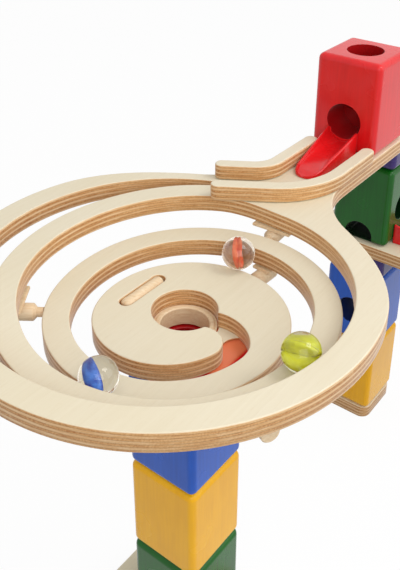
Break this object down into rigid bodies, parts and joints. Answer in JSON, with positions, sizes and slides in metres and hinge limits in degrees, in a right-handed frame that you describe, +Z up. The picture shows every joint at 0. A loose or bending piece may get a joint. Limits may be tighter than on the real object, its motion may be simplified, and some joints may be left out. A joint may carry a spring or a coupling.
{
  "type": "wooden marble run",
  "caption": "Sawn plywood spiral track with an arm, standing on stacks of painted wooden blocks, with ramps, guide strips and glass marbles.",
  "frame": {"origin": "on the floor, under the catch hole at the middle of the spiral", "axes": "+Z up, +Y away from the viewer of the picture, +X to the right"},
  "size_m": [0.3117, 0.3059, 0.2834],
  "materials": {
    "birch_plywood": "bare, fine sanded",
    "beech": "bare, turned",
    "red_lacquer": "glossy lacquer",
    "green_lacquer": "satin lacquer",
    "blue_lacquer": "satin lacquer",
    "yellow_lacquer": "satin lacquer",
    "purple_lacquer": "satin lacquer",
    "yellow_glass": "clear with a coloured core",
    "blue_glass": "clear with a coloured core",
    "orange_glass": "clear with a coloured core"
  },
  "bodies": {
    "stand": {"column_base": "birch_plywood", "yellow_block": "yellow_lacquer", "blue_block": "blue_lacquer", "lower_spacer": "purple_lacquer", "middle_rail": "birch_plywood", "green_block": "green_lacquer", "upper_spacer": "purple_lacquer", "centre_base": "birch_plywood", "centre_low_block": "green_lacquer", "centre_mid_block": "yellow_lacquer", "centre_high_block": "blue_lacquer", "catch_block": "red_lacquer", "catch_ring": "beech", "base_pin_left": "beech", "base_pin_right": "beech", "yellow_pin_left": "beech", "yellow_pin_right": "beech", "blue_pin_left": "beech", "blue_pin_right": "beech", "rail_pin_left": "beech", "rail_pin_right": "beech", "green_pin_left": "beech", "green_pin_right": "beech", "centre_low_block_pin_left": "beech", "centre_low_block_pin_right": "beech", "centre_mid_block_pin_left": "beech", "centre_mid_block_pin_right": "beech", "centre_high_block_pin_left": "beech", "centre_high_block_pin_right": "beech", "catch_pin_left": "beech", "catch_pin_right": "beech"},
    "spiral": {"spiral_plate": "birch_plywood", "guide_rail_front": "birch_plywood", "guide_rail_back": "birch_plywood", "locating_dowel": "beech", "spacer_peg_1": "beech", "spacer_peg_2": "beech", "spacer_peg_3": "beech", "spacer_peg_4": "beech"},
    "start": {"start_block": "red_lacquer"},
    "ramp_upper": {"start_ramp": "red_lacquer"},
    "ramp_lower": {"rail_ramp": "red_lacquer"},
    "yellow_marble": {"marble_yellow": "yellow_glass"},
    "blue_marble": {"marble_blue": "blue_glass"},
    "orange_marble": {"marble_orange": "orange_glass"}
  },
  "joints": [
    {"name": "spiral_lift", "type": "slide", "parent": "stand", "child": "spiral", "axis": [0, 0, 1], "range_m": [0, 0.012]},
    {"name": "start_block_lift", "type": "slide", "parent": "spiral", "child": "start", "axis": [0, 0, 1], "range_m": [0, 0.03]},
    {"name": "start_ramp_lift", "type": "slide", "parent": "spiral", "child": "ramp_upper", "axis": [0, 0, 1], "range_m": [0, 0.015]},
    {"name": "rail_ramp_slide", "type": "slide", "parent": "stand", "child": "ramp_lower", "axis": [0.788, -0.6157, 0], "range_m": [0, 0.026]},
    {"name": "yellow_marble_roll", "type": "hinge", "parent": "spiral", "child": "yellow_marble", "pos_m": [-0.0092, 0.0025, 0.22528], "axis": [0.0075, 0.0076, 0.9999], "range_deg": [-35, 14]},
    {"name": "blue_marble_roll", "type": "hinge", "parent": "spiral", "child": "blue_marble", "pos_m": [-0.0076, -0.0035, 0.21588], "axis": [0.0214, -0.0104, 0.9997], "range_deg": [-25, 14]},
    {"name": "orange_marble_roll", "type": "hinge", "parent": "spiral", "child": "orange_marble", "pos_m": [0.00269, -0.00626, 0.21574], "axis": [0, 0, 1], "range_deg": [-35, 35]}
  ]
}
